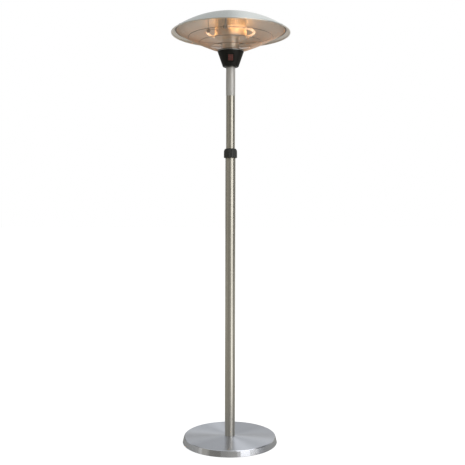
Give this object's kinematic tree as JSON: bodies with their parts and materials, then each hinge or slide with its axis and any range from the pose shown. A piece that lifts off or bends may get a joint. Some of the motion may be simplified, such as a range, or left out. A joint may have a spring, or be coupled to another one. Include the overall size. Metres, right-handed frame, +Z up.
{
  "type": "infrared patio heater tower",
  "caption": "Free-standing electric patio heater: round weighted base, telescopic pole with clamp collar, switch housing and a wide domed reflector with a ring lamp behind a wire grille.",
  "frame": {"origin": "on the floor, at the centre of the base, under the pole's axis", "axes": "+Z up along the pole; the switch on the housing faces -Y; +X is to the right when the switch is faced"},
  "size_m": [0.59, 0.59, 2.1402],
  "materials": {
    "brushed_steel": "fine brushed stainless steel",
    "zinc_steel": "zinc-plated, satin",
    "silver_sheet": "satin silver",
    "polished_sheet": "polished",
    "grille_wire": "plated wire",
    "black_plastic": "fine-grained black",
    "grey_plastic": "plain moulded",
    "red_plastic": "dark red, glossy",
    "label_film": "bare silver film",
    "concrete": "cast",
    "rubber": "matt",
    "quartz": "clear",
    "glowing_wire": "glowing",
    "ceramic": "unglazed",
    "lead_sleeve": "woven glass sleeve"
  },
  "bodies": {
    "stand": {"rubber_foot_1": "rubber", "rubber_foot_2": "rubber", "rubber_foot_3": "rubber", "rubber_foot_4": "rubber", "bottom_plate": "zinc_steel", "ballast_disc": "concrete", "base_cover": "brushed_steel", "clamp_washer": "zinc_steel", "foot_disc": "zinc_steel", "foot_bolt_1": "zinc_steel", "foot_bolt_2": "zinc_steel", "foot_bolt_3": "zinc_steel", "lower_tube": "brushed_steel", "cable_gland": "rubber", "tube_socket": "black_plastic"},
    "collet": {"collet": "grey_plastic"},
    "clamp_nut": {"clamp_nut": "black_plastic"},
    "guide_bush": {"guide_bush": "grey_plastic"},
    "head": {"upper_tube": "brushed_steel", "label_film": "label_film", "housing": "black_plastic", "neck_socket": "zinc_steel", "neck_screw_1": "zinc_steel", "neck_screw_2": "zinc_steel", "lid": "silver_sheet", "lid_screw_1": "zinc_steel", "lid_screw_2": "zinc_steel", "lid_screw_3": "zinc_steel", "terminal_block": "ceramic", "tilt_switch": "grey_plastic", "switch_bezel": "black_plastic", "switch_body": "black_plastic", "column": "silver_sheet", "lamp_drum": "polished_sheet", "top_bracket": "zinc_steel", "top_screw_1": "zinc_steel", "top_screw_2": "zinc_steel", "top_screw_3": "zinc_steel", "reflector": "silver_sheet", "grille": "grille_wire", "hoop_clip_1": "zinc_steel", "hoop_clip_2": "zinc_steel", "hoop_clip_3": "zinc_steel", "clip_rivet_1": "zinc_steel", "clip_rivet_2": "zinc_steel", "clip_rivet_3": "zinc_steel", "lamp_tube": "quartz", "lamp_filament": "glowing_wire", "lamp_cap_1": "ceramic", "lamp_cap_2": "ceramic", "lamp_post_1": "zinc_steel", "lamp_post_2": "zinc_steel", "lamp_clip_1": "zinc_steel", "lamp_clip_2": "zinc_steel", "lamp_clip_3": "zinc_steel", "lamp_lead_1": "lead_sleeve", "lamp_lead_2": "lead_sleeve"},
    "rocker_left": {"rocker_left": "red_plastic"},
    "rocker_right": {"rocker_right": "red_plastic"}
  },
  "joints": [
    {"name": "head_height", "type": "slide", "parent": "stand", "child": "guide_bush", "axis": [0, 0, 1], "range_m": [-0.25, 0]},
    {"name": "head_swivel", "type": "hinge", "parent": "guide_bush", "child": "head", "pos_m": [0, 0, 1.3], "axis": [0, 0, 1], "range_deg": [-180, 180]},
    {"name": "collet_lift", "type": "slide", "parent": "stand", "child": "collet", "axis": [0, 0, 1], "range_m": [0, 0.0023]},
    {"name": "nut_turn", "type": "hinge", "parent": "collet", "child": "clamp_nut", "pos_m": [0, 0, 1.45], "axis": [0, 0, 1], "range_deg": [0, 270]},
    {"name": "rocker_left_tilt", "type": "hinge", "parent": "head", "child": "rocker_left", "pos_m": [-0.00635, -0.05161, 1.91516], "axis": [1, 0, 0], "range_deg": [0, 16]},
    {"name": "rocker_right_tilt", "type": "hinge", "parent": "head", "child": "rocker_right", "pos_m": [0.00635, -0.05161, 1.91516], "axis": [1, 0, 0], "range_deg": [0, 16]}
  ],
  "couplings": [
    {"joint": "collet_lift", "follows": "nut_turn", "m_per_rad": 0.00047746}
  ]
}
